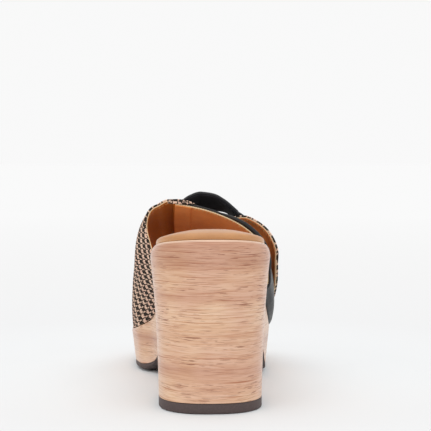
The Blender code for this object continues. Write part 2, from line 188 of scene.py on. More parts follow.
# How finely the pieces are meshed: rows are across the foot, places along it
END_STATIONS, STATION_CLEAR = 24, 0.1 * MM
BREAST_STEPS = (0.0, 0.15, 0.5, 1.2, 2.4, 4.0, 6.0, 8.5, 11.0, 14.0)
SECTION_STEPS = 121
WOOD_RINGS = 17
QUARTER_TURN = (0, 15, 30, 45, 60, 75, 90)
BAND_ROWS, BAND_PLACES = 241, 101
HEM_ROWS, HEM_PLACES = 45, 12
PANEL_ROWS, PANEL_PLACES = 121, 61
LOOP_SPANS, LOOP_PLACES = ((LOOP_TABLE[0][0], -0.02, 16), (-0.016, 1.0, 160)), 25
RIM_TURNS = np.radians((-45.0, 0.0, 45.0))
FOLD_SIDES, ROLL_SIDES = 12, 14
SHARP_ANGLE, SHELL_SHARP_ANGLE = 40.0, 60.0
WELD, TINY = 1e-6, 1e-9

# Darker and paler bands up the wood's height, as shares of it
BANDED_HEIGHT = 100 * MM
WOOD_BANDS = tuple((share, (dark,) * 3) for share, dark in (
    (0.06, 0.45), (0.11, 0.20), (0.18, 0.55), (0.25, 0.82), (0.33, 0.20), (0.45, 0.42),
    (0.575, 0.12), (0.635, 0.75), (0.70, 0.35), (0.78, 0.58), (0.87, 0.95), (0.96, 0.75),
))
WOOD_WANDER, BAND_SHARE, CLOUD_SHARE = 4 * MM, 0.55, 0.45
# Strength of the wood's dashes, and of the painted highlight on its top edge
DASH_STRENGTH, PAINTED_HIGHLIGHT_STRENGTH = 0.85, 0.5
RIB_PITCH, RIB_STEEPNESS, FACING_DOWN = 3.2 * MM, 3.0, -0.7

# Sockets of Blender's nodes that are reached by number
OBJECT_PLACE, ATTRIBUTE_VALUE = 3, 2
MIX_FIRST, MIX_SECOND, MIX_RESULT = 6, 7, 2

# Camera, fitted to the photograph
IMAGE = 431
FOCAL_PIXELS = 1286
EYE_HEIGHT, EYE_DISTANCE = 135 * MM, 670 * MM
SHOE_YAW = 0.045
HORIZON_PIXEL, AXIS_PIXEL = 158.7, 212.5
SENSOR = 36.0
NEAR_CLIP = 20 * MM

# Light: name, strength, spread in degrees, heading; the floor pales to the surround far away, and has
# light painted in close round the shoe
SURROUND = 0.945
LIGHTS = (
    ("top_light", 0.60, 70.0, (0.04, 0.10, -1.00)),
    ("fill_light", 0.45, 90.0, (0.40, 0.92, -0.25)),
)
FLOOR_LIGHT = SURROUND + sum(
    power * -heading[2] / np.linalg.norm(heading) / np.pi for _, power, _, heading in LIGHTS
)
FLOOR_FAR = SURROUND / FLOOR_LIGHT
FLOOR_HALF, FLOOR_DROP = 30.0, 0.2 * MM
FLOOR_RATE, FAR_STOP = 0.4, 0.9
# Floor colour by distance from the shoe's middle: painted light, palest close round the shoe where its
# shadow falls, a little darker further out, then the far tone
FLOOR_PAINTED_LIGHT = (
    (0.014, (0.920, 0.938, 0.945)),
    (0.03, (0.846, 0.868, 0.878)),
    (0.06, (0.792, 0.804, 0.810)),
    (0.12, (0.766, 0.769, 0.772)),
    (0.26, (0.775, 0.775, 0.775)),
)


def smooth_step(low, high, value):
    share = np.clip((np.asarray(value, float) - low) / (high - low), 0.0, 1.0)
    return share * share * (3.0 - 2.0 * share)


def column(table, columns, name, at):
    """A column of a table at many places, by a cubic that never overshoots its rows."""
    places = np.array([row[0] for row in table], float)
    values = np.array([row[columns.index(name)] for row in table], float)
    at = np.clip(np.asarray(at, float), places[0], places[-1])
    spans = np.diff(places)
    slopes = np.diff(values) / spans
    before, after = slopes[:-1], slopes[1:]
    rising = before * after > 0
    middle = np.where(rising, 2.0 * before * after / np.where(rising, before + after, 1.0), 0.0)
    tangents = np.concatenate([slopes[:1], middle, slopes[-1:]])
    i = np.clip(np.searchsorted(places, at, side="right") - 1, 0, len(spans) - 1)
    u = (at - places[i]) / spans[i]
    start = (1 + 2 * u) * (1 - u) ** 2 * values[i] + u * (1 - u) ** 2 * spans[i] * tangents[i]
    end = u * u * (3 - 2 * u) * values[i + 1] + u * u * (u - 1) * spans[i] * tangents[i + 1]
    return start + end


def sole_size(name, y):
    return column(SOLE_TABLE, SOLE_COLUMNS, name, np.asarray(y) / MM) * MM


def side_top(y):
    """Height at which the wood's side turns over into its rounded top edge."""
    return sole_size("top", y) - SHOULDER_STRETCH * sole_size("shoulder", y)


def fabric_edge(name, girth):
    return column(FABRIC_TABLE, FABRIC_COLUMNS, name, girth) * MM


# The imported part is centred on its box; its heel tip shows by how much
tip_low, tip_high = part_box("heel_tip")
HEEL_OFF_CENTRE = (SOLE_TABLE[1][2] - SOLE_TABLE[1][1]) / 2 * MM
SHIFT = np.array((
    (tip_low[0] + tip_high[0]) / 2 - HEEL_OFF_CENTRE,
    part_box("wood_sole")[0][1],
    0.0,
))


def cap_share(y):
    """How much of the sole's width is left at y, as the heel and the toe round off."""
    into_heel = np.clip(1.0 - y / HEEL_CAP, 0.0, 1.0)
    into_toe = np.clip((y - (SOLE_LENGTH - TOE_CAP)) / TOE_CAP, 0.0, 1.0)
    heel = (1.0 - into_heel**HEEL_CAP_POWER) ** (1.0 / HEEL_CAP_POWER)
    return heel * (1.0 - into_toe**TOE_CAP_POWER) ** (1.0 / TOE_CAP_POWER)


def underside(y):
    """Height of the wood's bottom: heel seat, breast, arch, forefoot and toe spring."""
    y = np.asarray(y, float)
    top = OUTSOLE + ARCH_RISE
    along = np.clip((ARCH_PEAK - y) / (ARCH_PEAK - HEEL_BREAST), 0.0, 1.0)
    breast = BREAST_TOP + (top - BREAST_TOP) * np.sqrt(1.0 - along**2)
    along = np.clip((y - ARCH_PEAK) / (ARCH_END - ARCH_PEAK), 0.0, 1.0)
    arch = OUTSOLE + ARCH_RISE * 0.5 * (1.0 + np.cos(np.pi * along))
    spring = np.maximum(0.0, y - SPRING_START) / (SOLE_LENGTH - SPRING_START)
    front = np.where(y < ARCH_PEAK, breast, arch + SPRING_RISE * spring**2)
    return np.where(y <= HEEL_BREAST + TINY, HEEL_TIP, front)


def side_inset(y, z):
    """How far the wood's side stands inside its top edge at height z."""
    bottom = np.where(y < ARCH_PEAK, HEEL_TIP, OUTSOLE)
    up = np.clip((z - bottom) / (side_top(y) - bottom), 0.0, 1.0)
    flare = FLARE_LINEAR * up + (1.0 - FLARE_LINEAR) * up**FLARE_POWER
    forefoot = smooth_step(ARCH_PEAK, ARCH_END, y)
    taper = HEEL_TAPER + (PLATFORM_TAPER - HEEL_TAPER) * forefoot
    return taper * (1.0 - (flare + (up - flare) * forefoot))


def stations(start=0.0, end=SOLE_LENGTH, step=3 * MM):
    """Places along the sole: close together at its round ends and round the heel breast."""
    ends = 0.5 * (1.0 - np.cos(np.linspace(0.0, np.pi / 2, END_STATIONS)))
    heel = ends * 2.0 * HEEL_CAP
    toe = SOLE_LENGTH - ends * 2.0 * TOE_CAP
    middle = np.arange(HEEL_CAP + step, SOLE_LENGTH - TOE_CAP - step / 2, step)
    breast = HEEL_BREAST + np.array(BREAST_STEPS) * MM
    middle = middle[(middle < HEEL_BREAST - step / 3) | (middle > ARCH_PEAK + step / 3)]
    places = np.unique(np.round(np.concatenate([heel, toe, middle, breast]), 7))
    inside = places[(places > start + STATION_CLEAR) & (places < end - STATION_CLEAR)]
    return np.concatenate([[start], inside, [end]])


def ring_at(places, heights, insets):
    """A closed ring of points round the sole: medial side forward, lateral side back."""
    sides = []
    for name, sign in (("medial", -1.0), ("lateral", 1.0)):
        edge = np.column_stack([sign * sole_size(name, places) * cap_share(places), places])
        along = np.gradient(edge, axis=0)
        for end in (0, -1):
            if abs(edge[end, 0]) < GAP:
                along[end] = (sign if end == 0 else -sign, 0.0)
        along /= np.linalg.norm(along, axis=1, keepdims=True)
        inward = np.column_stack([-sign * along[:, 1], sign * along[:, 0]])
        plan = edge + inward * np.broadcast_to(insets, places.shape)[:, None]
        sides.append(np.column_stack([plan, np.broadcast_to(heights, places.shape)]))
    return np.concatenate([sides[0], sides[1][::-1]])


def last_section(y, girth):
    """Points on the last for flat arrays of y and girth, and their way round from the ridge."""
    size = {name: column(LAST_TABLE, LAST_COLUMNS, name, y / MM)[:, None] for name in LAST_COLUMNS}
    medial = (girth < 0)[:, None]
    side = np.where(medial, -1.0, 1.0)
    across = np.where(medial, size["medial_square"], size["slope"])
    up = np.where(medial, size["medial_square"], size["wall"])
    tuck = np.where(medial, MEDIAL_TUCK, LATERAL_TUCK)
    bulge = np.where(medial, size["medial"], size["lateral"]) * MM
    inset = np.where(medial, MEDIAL_INSET, size["lateral_inset"] * MM)
    edge = np.where(medial, sole_size("medial", y)[:, None], sole_size("lateral", y)[:, None])
    ridge_x, ridge_z = size["ridge_x"] * MM, size["ridge_z"] * MM
    base = sole_size("top", y)[:, None] + GAP
    turn = np.linspace(0.0, np.pi / 2, SECTION_STEPS)[None, :]
    reach = np.sin(turn) ** (2.0 / across)
    rise = np.clip(np.cos(turn), 0.0, 1.0) ** (2.0 / up)
    span = bulge - side * ridge_x
    x = ridge_x + side * (span * reach - (bulge - edge + inset) * (1.0 - rise) ** tuck)
    z = base + (ridge_z - base) * rise

    def run(fall):
        steps = np.hypot(np.diff(x, axis=1), np.diff(z, axis=1) * fall)
        return np.concatenate([np.zeros((len(y), 1)), np.cumsum(steps, axis=1)], axis=1)

    length = run(1.0)
    at = np.minimum(np.abs(girth), 1.0) * length[:, -1]
    i = np.clip((length <= at[:, None]).sum(axis=1) - 1, 0, length.shape[1] - 2)
    row = np.arange(len(y))
    share = (at - length[row, i]) / np.maximum(length[row, i + 1] - length[row, i], 1e-12)

    def at_girth(values):
        return values[row, i] + (values[row, i + 1] - values[row, i]) * share

    points = np.column_stack([at_girth(x), y, at_girth(z)])
    return points, at_girth(run(np.cos(RIDGE_FALL))) * side[:, 0]


def last_point(y, girth):
    """Points of the last's surface for arrays of y along the foot and girth across it."""
    y, girth = np.broadcast_arrays(np.asarray(y, float), np.asarray(girth, float))
    return last_section(y.ravel(), girth.ravel())[0].reshape(*y.shape, 3)


def thread_count(y, girth):
    """Threads across and along the cloth, laid level on the medial wall and unrolled over the ridge."""
    points, way = last_section(y.ravel(), girth.ravel())
    along = points[:, 1] * np.cos(RIDGE_FALL) - points[:, 2] * np.sin(RIDGE_FALL)
    level = along * np.cos(RIDGE_FALL) + way * np.sin(RIDGE_FALL)
    upright = way * np.cos(RIDGE_FALL) - along * np.sin(RIDGE_FALL)
    threads = np.column_stack([upright / REPEAT_ACROSS, level / REPEAT_ALONG]) * THREADS_PER_REPEAT
    return threads.reshape(*y.shape, 2)


def last_normal(y, girth):
    """Outward directions of the last's surface."""
    dy, dg = 0.5 * MM, 0.01
    along = last_point(y + dy, girth) - last_point(y - dy, girth)
    across = last_point(y, np.minimum(girth + dg, 1.0)) - last_point(y, np.maximum(girth - dg, -1.0))
    normal = np.cross(across, along)
    outward = (normal[..., 2] > 0) | (normal[..., 0] * girth > 0)
    normal = np.where(outward[..., None], normal, -normal)
    return normal / np.linalg.norm(normal, axis=-1, keepdims=True)


def fabric_height(y, girth):
    """How far the fabric's inside stands off the last."""
    lap = (WALL + LAP_CLEAR) * smooth_step(*LAP_GIRTHS, girth)
    from_edge = np.maximum(0.0, y - fabric_edge("back", girth))
    return lap + fabric_edge("lift", girth) * (1.0 - smooth_step(0.0, FLAP_FALL, from_edge))


def loop_height(y, girth, off):
    """How far the loop's inside stands off the last, always clear of the fabric it crosses."""
    past_front = smooth_step(*LOOP_LANDING, y - fabric_edge("front", girth))
    over = (fabric_height(y, girth) + WALL + LOOP_CLEAR) * (1.0 - past_front)
    return np.maximum(off, over)


def surface(girths, backs, fronts, height, count, sweep=0.0):
    """Points over the last: rows of one girth, or swept to the medial side, from back to front."""
    share = np.linspace(0.0, 1.0, count)[None, :]
    y = backs[:, None] + (fronts - backs)[:, None] * share
    girth = girths[:, None] - sweep * share * (1.0 - girths[:, None])
    return last_point(y, girth) + last_normal(y, girth) * height(y, girth)[..., None]


def grid_normals(grid):
    normals = np.cross(np.gradient(grid, axis=0), np.gradient(grid, axis=1))
    return normals / np.linalg.norm(normals, axis=2, keepdims=True)


def rest_on_sole(points):
    """Keeps a wall's foot on the wood's top edge, however far the wall leans."""
    points[..., 2] = np.maximum(points[..., 2], sole_size("top", points[..., 1]) + GAP)
    return points


def add_piece(name, bm, material, sharp_angle=SHARP_ANGLE):
    """Makes a smooth-shaded piece of the shoe out of a bmesh, riding on the one body."""
    bmesh.ops.recalc_face_normals(bm, faces=bm.faces)
    if bm.calc_volume(signed=True) < 0:
        bmesh.ops.reverse_faces(bm, faces=bm.faces)
    bmesh.ops.translate(bm, verts=bm.verts, vec=Vector(SHIFT))
    mesh = bpy.data.meshes.new(name)
    bm.to_mesh(mesh)
    bm.free()
    mesh.shade_smooth()
    mesh.set_sharp_from_angle(angle=np.radians(sharp_angle))
    mesh.materials.append(material)
    piece = bpy.data.objects.new(name, mesh)
    bpy.context.scene.collection.objects.link(piece)
    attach(piece, "root")
    return piece


def join_rings(bm, rings):
    """Faces between closed rings of equal length."""
    count = len(rings[0])
    for low, high in zip(rings, rings[1:]):
        for i in range(count):
            j = (i + 1) % count
            bm.faces.new((low[i], low[j], high[j], high[i]))


def stack(name, rings, material, node):
    """A closed solid from rings of equal length, the first at the bottom and the last on top."""
    bm = bmesh.new()
    rows = [[bm.verts.new(point) for point in ring] for ring in rings]
    join_rings(bm, rows)
    count = len(rows[0])
    for row in (rows[0], rows[-1]):
        for i in range(count // 2 - 1):
            bm.faces.new((row[i], row[i + 1], row[count - 2 - i], row[count - 1 - i]))
    bmesh.ops.remove_doubles(bm, verts=bm.verts, dist=WELD)
    piece = add_piece(name, bm, material)
    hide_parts(node)
    return piece


def rim_uv(uv, inner, outer, at, turn):
    """Where the weave has got to at a turn over the rim, going on as it came to the edge."""
    rows, cols = uv.shape[:2]
    near = min(max(at[0], 1), rows - 2), min(max(at[1], 1), cols - 2)
    over = (np.pi / 2 - turn) * 0.5 * np.linalg.norm(outer[at] - inner[at])
    return uv[at] + (uv[at] - uv[near]) * over / np.linalg.norm(outer[at] - outer[near])


def shell(name, inner, outer, material, uv=None, rim_round=0.5):
    """A closed wall between two grids of points, with a round rim, and uv for its weave."""
    rows, cols = inner.shape[:2]
    core = 0.5 * (inner + outer)
    normals = grid_normals(core)
    rim = [(i, 0) for i in range(rows)] + [(rows - 1, j) for j in range(1, cols)]
    rim += [(i, cols - 1) for i in range(rows - 2, -1, -1)]
    rim += [(0, j) for j in range(cols - 2, 0, -1)]
    bm = bmesh.new()
    layer = bm.loops.layers.uv.new("weave")
    on_rim = bm.verts.layers.float.new("rim")
    place = {}

    def grid_verts(points):
        verts = [[bm.verts.new(p) for p in row] for row in points]
        for i, row in enumerate(verts):
            for j, vert in enumerate(row):
                place[vert] = (i, j)
        return verts

    def lay(face, places):
        for loop, at in zip(face.loops, places):
            loop[layer].uv = at

    def rim_vert(i, j, turn):
        low, high = inner[i, j], outer[i, j]
        away = core[i, j] - core[min(max(i, 1), rows - 2), min(max(j, 1), cols - 2)]
        away -= normals[i, j] * np.dot(away, normals[i, j])
        away /= max(np.linalg.norm(away), TINY)
        half = 0.5 * (high - low)
        reach = np.linalg.norm(half) * rim_round
        at_feather = i in (0, rows - 1) and low[2] < sole_size("top", low[1]) + FEATHER_REACH
        bulge = 0.0 if at_feather else reach * np.cos(turn)
        vert = bm.verts.new(core[i, j] + half * np.sin(turn) + away * bulge)
        vert[on_rim] = 1.0
        return vert

    inside, outside = grid_verts(inner), grid_verts(outer)
    for i in range(rows - 1):
        for j in range(cols - 1):
            bm.faces.new((inside[i][j], inside[i][j + 1], inside[i + 1][j + 1], inside[i + 1][j]))
            bm.faces.new((outside[i][j], outside[i + 1][j], outside[i + 1][j + 1], outside[i][j + 1]))
    if uv is not None:
        for face in bm.faces:
            lay(face, [uv[place[vert]] for vert in face.verts])
    previous, previous_turn = [inside[i][j] for i, j in rim], -np.pi / 2
    for turn in (*RIM_TURNS, np.pi / 2):
        last = turn == np.pi / 2
        ring = [outside[i][j] if last else rim_vert(i, j, turn) for i, j in rim]
        for k in range(len(rim)):
            n = (k + 1) % len(rim)
            face = bm.faces.new((previous[k], ring[k], ring[n], previous[n]))
            if uv is not None:
                corners = ((k, previous_turn), (k, turn), (n, turn), (n, previous_turn))
                lay(face, [rim_uv(uv, inner, outer, rim[at], way) for at, way in corners])
        previous, previous_turn = ring, turn
    return add_piece(name, bm, material, SHELL_SHARP_ANGLE)


def path_length(path):
    """How far along a path each of its points lies."""
    steps = np.linalg.norm(np.diff(path, axis=0), axis=1)
    return np.concatenate([[0.0], np.cumsum(steps)])


def along_path(at, length, values):
    """Points or directions that belong to a path, at given lengths along it."""
    return np.stack([np.interp(at, length, values[:, axis]) for axis in range(3)], axis=-1)


def tube(name, path, radii, material, sides=8):
    """A round cord along a path of points, of even or changing radius, with closed ends."""
    along = np.gradient(path, axis=0)
    along /= np.linalg.norm(along, axis=1, keepdims=True)
    bm = bmesh.new()
    rings = []
    helper = np.array((0.3, 0.5, 0.81))
    turns = np.linspace(0.0, 2 * np.pi, sides, endpoint=False)
    for point, direction, radius in zip(path, along, np.broadcast_to(radii, len(path))):
        first = np.cross(direction, helper)
        first /= np.linalg.norm(first)
        second = np.cross(direction, first)
        ring = [point + radius * (np.cos(a) * first + np.sin(a) * second) for a in turns]
        rings.append([bm.verts.new(corner) for corner in ring])
    join_rings(bm, rings)
    bm.faces.new(rings[0])
    bm.faces.new(rings[-1])
    return add_piece(name, bm, material)


def beaded_edge(name, path, radius, material):
    """A cord over a cut edge, drawn in at even steps by the thread that holds it."""
    length = path_length(path)
    at = np.linspace(0.0, length[-1], int(length[-1] / BEAD * BEAD_STEPS))
    swell = BEAD_NECK + BEAD_SWELL * np.abs(np.sin(np.pi * at / BEAD))
    tube(name, along_path(at, length, path), radius * swell, material)


def stitches(name, path, lift, material):
    """A row of short threads along a path, each sunk at its ends into the surface lift stands on."""
    length = path_length(path)
    count = int(length[-1] / STITCH_PITCH)
    turns = np.linspace(0.0, 2 * np.pi, STITCH_SIDES, endpoint=False)
    bm = bmesh.new()
    for k in range(count):
        start = (k + 0.5) * length[-1] / count - STITCH_LENGTH / 2
        rings = []
        for share, thick in STITCH_PROFILE:
            at = start + share * STITCH_LENGTH
            up = along_path(at, length, lift)
            ahead = along_path(at + STITCH_PROBE, length, path)
            back = along_path(at - STITCH_PROBE, length, path)
            direction = (ahead - back) / np.linalg.norm(ahead - back)
            across = np.cross(direction, up)
            rise = STITCH_RADIUS * (STITCH_ARCH * np.sin(np.pi * share) - STITCH_SINK)
            centre = along_path(at, length, path) + up * rise
            radius = STITCH_RADIUS * thick
            rings.append([
                bm.verts.new(centre + radius * (np.cos(a) * across + np.sin(a) * up)) for a in turns
            ])
        join_rings(bm, rings)
        bm.faces.new(rings[0])
        bm.faces.new(rings[-1])
    return add_piece(name, bm, material)


class Shader:
    """A material's nodes, added one call at a time; inputs are sockets or plain values."""

    def __init__(self, name):
        self.material = bpy.data.materials.new(name)
        self.material.use_nodes = True
        self.nodes = self.material.node_tree.nodes
        self.links = self.material.node_tree.links
        self.surface = self.nodes["Principled BSDF"]

    def place(self):
        """Object coordinates, so that a pattern stays on its piece."""
        return self.add("TexCoord", output=OBJECT_PLACE)

    def rim(self):
        """How much of its edge tone a point takes."""
        return self.add("Attribute", output=ATTRIBUTE_VALUE, attribute_name="rim")

    def add(self, kind, inputs=(), output=0, **settings):
        node = self.nodes.new("ShaderNode" + kind)
        for name, value in settings.items():
            setattr(node, name, value)
        for key, value in dict(inputs).items():
            self.put(node.inputs[key], value)
        return node.outputs[output]

    def put(self, socket, value):
        if isinstance(value, bpy.types.NodeSocket):
            self.links.new(value, socket)
        else:
            socket.default_value = value

    def set(self, **values):
        for name, value in values.items():
            self.put(self.surface.inputs[name.replace("_", " ")], value)

    def math(self, operation, first, second=0.0, clamp=False):
        return self.add("Math", {0: first, 1: second}, operation=operation, use_clamp=clamp)

    def scaled(self, vector, scale):
        return self.add("VectorMath", {0: vector, 1: scale}, operation="MULTIPLY")

    def noise(self, vector, scale, detail=3.0, rough=0.55):
        inputs = {"Vector": vector, "Scale": scale, "Detail": detail, "Roughness": rough}
        return self.add("TexNoise", inputs)

    def ramp(self, value, *stops):
        node = self.nodes.new("ShaderNodeValToRGB")
        self.put(node.inputs[0], value)
        points = node.color_ramp.elements
        while len(points) < len(stops):
            points.new(0.5)
        for point, (place, colour) in zip(points, stops):
            point.position = place
            point.color = (*colour, 1.0)
        return node.outputs[0]

    def mix(self, share, first, second, blend="MIX"):
        node = self.nodes.new("ShaderNodeMix")
        node.data_type, node.blend_type = "RGBA", blend
        self.put(node.inputs[0], share)
        for socket, value in ((MIX_FIRST, first), (MIX_SECOND, second)):
            self.put(node.inputs[socket], (*value, 1.0) if isinstance(value, tuple) else value)
        return node.outputs[MIX_RESULT]

    def bump(self, height, strength, distance):
        return self.add("Bump", {"Height": height, "Strength": strength, "Distance": distance})


def srgb(red, green, blue):
    """A colour from 0 to 255 as the eye sees it, in the light values that shaders use."""
    values = np.array((red, green, blue)) / 255.0
    return tuple(np.where(values <= 0.04045, values / 12.92, ((values + 0.055) / 1.055) ** 2.4))


def grey(value):
    return (value,) * 3


def wood_material():
    """Streaky wood look: level bands, fine streaks, sparse brown dashes and a painted highlight on its
    rim, under a satin coat.
    """
    shader = Shader("streaked_wood")
    place = shader.place()
    x, y, z = (shader.add("SeparateXYZ", {0: place}, output=i) for i in range(3))
    wander = shader.noise(place, scale=16.0, detail=2.0)
    height = shader.math("ADD", z, shader.math("MULTIPLY", wander, WOOD_WANDER))
    level = shader.add("CombineXYZ", {0: x, 1: y, 2: height})

    def grained(along, across, detail, rough):
        return shader.noise(shader.scaled(level, (along, along, across)), 1.0, detail, rough)

    def tint(colour, value, *stops):
        return shader.mix(1.0, colour, shader.ramp(value, *stops), "MULTIPLY")

    growth = shader.ramp(shader.math("DIVIDE", height, BANDED_HEIGHT), *WOOD_BANDS)
    growth = shader.math("MULTIPLY", growth, BAND_SHARE)
    clouds = grained(along=6.0, across=150.0, detail=3.0, rough=0.5)
    bands = shader.math("ADD", growth, shader.math("MULTIPLY", clouds, CLOUD_SHARE))
    streaks = grained(along=30.0, across=900.0, detail=4.0, rough=0.6)
    hairs = grained(along=90.0, across=2600.0, detail=2.0, rough=0.5)
    lines = grained(along=28.0, across=1500.0, detail=2.0, rough=0.5)
    pores = grained(along=130.0, across=2900.0, detail=1.0, rough=0.4)
    patches = grained(along=18.0, across=110.0, detail=2.0, rough=0.5)
    colour = shader.ramp(
        bands,
        (0.30, srgb(232, 199, 168)),
        (0.46, srgb(224, 186, 154)),
        (0.58, srgb(211, 167, 135)),
        (0.70, srgb(194, 146, 116)),
    )
    blush = shader.noise(place, scale=28.0, detail=2.0)
    blush = shader.ramp(blush, (0.42, grey(0.0)), (0.62, grey(0.55)))
    colour = shader.mix(blush, colour, srgb(214, 170, 148))
    colour = tint(colour, streaks, (0.35, grey(1.0)), (0.75, srgb(240, 225, 212)))
    colour = tint(colour, hairs, (0.45, grey(1.0)), (0.70, srgb(240, 227, 216)))
    colour = tint(colour, lines, (0.60, grey(1.0)), (0.68, srgb(214, 178, 150)))
    sharp = shader.ramp(pores, (0.61, grey(0.0)), (0.65, grey(1.0)))
    where = shader.ramp(patches, (0.40, grey(0.25)), (0.58, grey(1.0)))
    dashes = shader.math("MULTIPLY", sharp, where)
    colour = shader.mix(shader.math("MULTIPLY", dashes, DASH_STRENGTH), colour, srgb(136, 74, 42))
    # Painted highlight: a pale line along the wood's top edge at the heel
    painted_highlight = shader.math("MULTIPLY", shader.rim(), PAINTED_HIGHLIGHT_STRENGTH)
    colour = shader.mix(painted_highlight, colour, srgb(240, 216, 190))
    raised, sunk = shader.math("MULTIPLY", streaks, 0.3), shader.math("MULTIPLY", dashes, 0.5)
    relief = shader.math("SUBTRACT", raised, sunk)
    rough = shader.ramp(streaks, (0.3, grey(0.34)), (0.8, grey(0.46)))
    shader.set(Base_Color=colour, Roughness=rough, Coat_Weight=0.45, Coat_Roughness=0.2,
               Normal=shader.bump(relief, strength=0.15, distance=0.12 * MM))
    return shader.material


def leather_material(name, light, dark, grain, roughness, coat, specular, edge=None):
    """Smooth leather with soft tone changes and a fine pebbled grain, and an edge tone on the points
    marked as its rim.
    """
    shader = Shader(name)
    place = shader.place()
    tone = shader.noise(place, scale=55.0, detail=4.0)
    mottle = shader.noise(place, scale=420.0, detail=3.0)
    colour = shader.ramp(tone, (0.35, dark), (0.65, light))
    colour = shader.mix(0.35, colour, shader.ramp(mottle, (0.3, dark), (0.7, light)))
    if edge:
        colour = shader.mix(shader.rim(), colour, edge)
    pebble = shader.add("TexVoronoi", {"Vector": place, "Scale": grain}, feature="F1")
    creases = shader.noise(place, scale=grain * 0.45, detail=4.0, rough=0.6)
    relief = shader.math("ADD", pebble, shader.math("MULTIPLY", creases, 0.8))
    rough = shader.ramp(mottle, (0.3, grey(roughness - 0.06)), (0.7, grey(roughness + 0.06)))
    shader.set(Base_Color=colour, Roughness=rough, Coat_Weight=coat, Coat_Roughness=0.3,
               Specular_IOR_Level=specular,
               Normal=shader.bump(relief, strength=0.22, distance=0.12 * MM))
    return shader.material


def rubber_material():
    """Dark matt rubber with shallow tread ribs on the faces that look down."""
    shader = Shader("dark_rubber")
    place = shader.place()
    speckle = shader.noise(place, scale=900.0, detail=3.0)
    colour = shader.ramp(speckle, (0.3, srgb(68, 54, 52)), (0.75, srgb(80, 65, 63)))
    facing = shader.add("SeparateXYZ", {0: shader.add("NewGeometry", output=1)}, output=2)
    down = shader.math("LESS_THAN", facing, FACING_DOWN)
    along = shader.add("SeparateXYZ", {0: place}, output=1)
    ribs = shader.math("SINE", shader.math("MULTIPLY", along, 2 * np.pi / RIB_PITCH))
    ribs = shader.math("MULTIPLY", shader.math("MULTIPLY", ribs, RIB_STEEPNESS, clamp=True), down)
    relief = shader.math("ADD", ribs, shader.math("MULTIPLY", speckle, 0.15))
    shader.set(Base_Color=colour, Roughness=0.62,
               Normal=shader.bump(relief, strength=0.6, distance=0.4 * MM))
    return shader.material


def houndstooth_material():
    """Two-tone twill: five dark and three light threads each way make the hooked check."""
    shader = Shader("houndstooth")
    threads = shader.add("UVMap", uv_map="weave")
    across, along = (shader.add("SeparateXYZ", {0: threads}, output=i) for i in range(2))
    column_of, row_of = shader.math("FLOOR", across), shader.math("FLOOR", along)
    half = THREADS_PER_REPEAT / 2

    def dark_thread(index):
        turn = shader.math("FLOORED_MODULO", index, float(THREADS_PER_REPEAT))
        return shader.math("LESS_THAN", turn, DARK_THREADS - 0.5)

    step = shader.math("FLOORED_MODULO", shader.math("ADD", column_of, row_of), half)
    over = shader.math("LESS_THAN", step, half / 2 - 0.5)
    under = shader.math("SUBTRACT", 1.0, over)
    dark = shader.math("ADD", shader.math("MULTIPLY", over, dark_thread(column_of)),
                       shader.math("MULTIPLY", under, dark_thread(row_of)))

    def round_thread(value):
        return shader.math("SINE", shader.math("MULTIPLY", shader.math("FRACT", value), np.pi))

    yarn = shader.math("ADD", shader.math("MULTIPLY", over, round_thread(across)),
                       shader.math("MULTIPLY", under, round_thread(along)))
    place = shader.place()
    fuzz = shader.noise(place, scale=2600.0, detail=2.0)
    drift = shader.noise(place, scale=90.0, detail=2.0)
    light = shader.ramp(fuzz, (0.3, srgb(226, 184, 160)), (0.7, srgb(254, 224, 200)))
    blush = shader.ramp(drift, (0.45, grey(0.0)), (0.65, grey(0.35)))
    light = shader.mix(blush, light, srgb(226, 176, 158))
    ink = shader.ramp(fuzz, (0.3, srgb(40, 33, 28)), (0.7, srgb(68, 57, 49)))
    colour = shader.mix(dark, light, ink)
    # Painted shade: each thread darker towards its edges, where it dips into the gaps of the weave
    painted_yarn_shade = shader.ramp(yarn, (0.0, grey(0.78)), (0.6, grey(1.0)))
    colour = shader.mix(1.0, colour, painted_yarn_shade, "MULTIPLY")
    relief = shader.math("ADD", yarn, shader.math("MULTIPLY", fuzz, 0.4))
    shader.set(Base_Color=colour, Roughness=0.9, Specular_IOR_Level=0.12,
               Normal=shader.bump(relief, strength=0.8, distance=0.22 * MM))
    return shader.material


def thread_material(name, colour, dark):
    """Twisted sewing thread or a cut edge: fine strands in two tones."""
    shader = Shader(name)
    place = shader.place()
    strand = shader.noise(place, scale=1800.0, detail=2.0)
    shader.set(Base_Color=shader.ramp(strand, (0.3, dark), (0.7, colour)), Roughness=0.7,
               Normal=shader.bump(strand, strength=0.3, distance=0.1 * MM))
    return shader.material


WOOD = wood_material()
RUBBER = rubber_material()
WEAVE = houndstooth_material()
INSOLE_LEATHER = leather_material(
    "insole_leather", srgb(197, 143, 93), srgb(181, 126, 78), grain=1300.0, roughness=0.40,
    coat=0.3, specular=0.4, edge=srgb(228, 186, 138),
)
# One tan lining leather in three copies with light and shade painted in: lighter where the panel and
# the flap face the light, darker where the medial wall and the panel's fold lie in shade
PAINTED_LIT_LINING = leather_material(
    "painted_lit_lining", srgb(236, 154, 88), srgb(214, 130, 66), grain=1500.0, roughness=0.5,
    coat=0.0, specular=0.2,
)
SHADED_LINING = leather_material(
    "shaded_lining", srgb(190, 113, 44), srgb(165, 92, 32), grain=1500.0, roughness=0.5,
    coat=0.0, specular=0.15,
)
PAINTED_LIT_FLAP_LINING = leather_material(
    "painted_lit_flap_lining", srgb(248, 146, 84), srgb(232, 126, 66), grain=1500.0, roughness=0.5,
    coat=0.0, specular=0.2,
)
BLACK_LEATHER = leather_material(
    "black_leather", srgb(20, 20, 22), srgb(13, 13, 14), grain=1700.0, roughness=0.42,
    coat=0.0, specular=0.42,
)
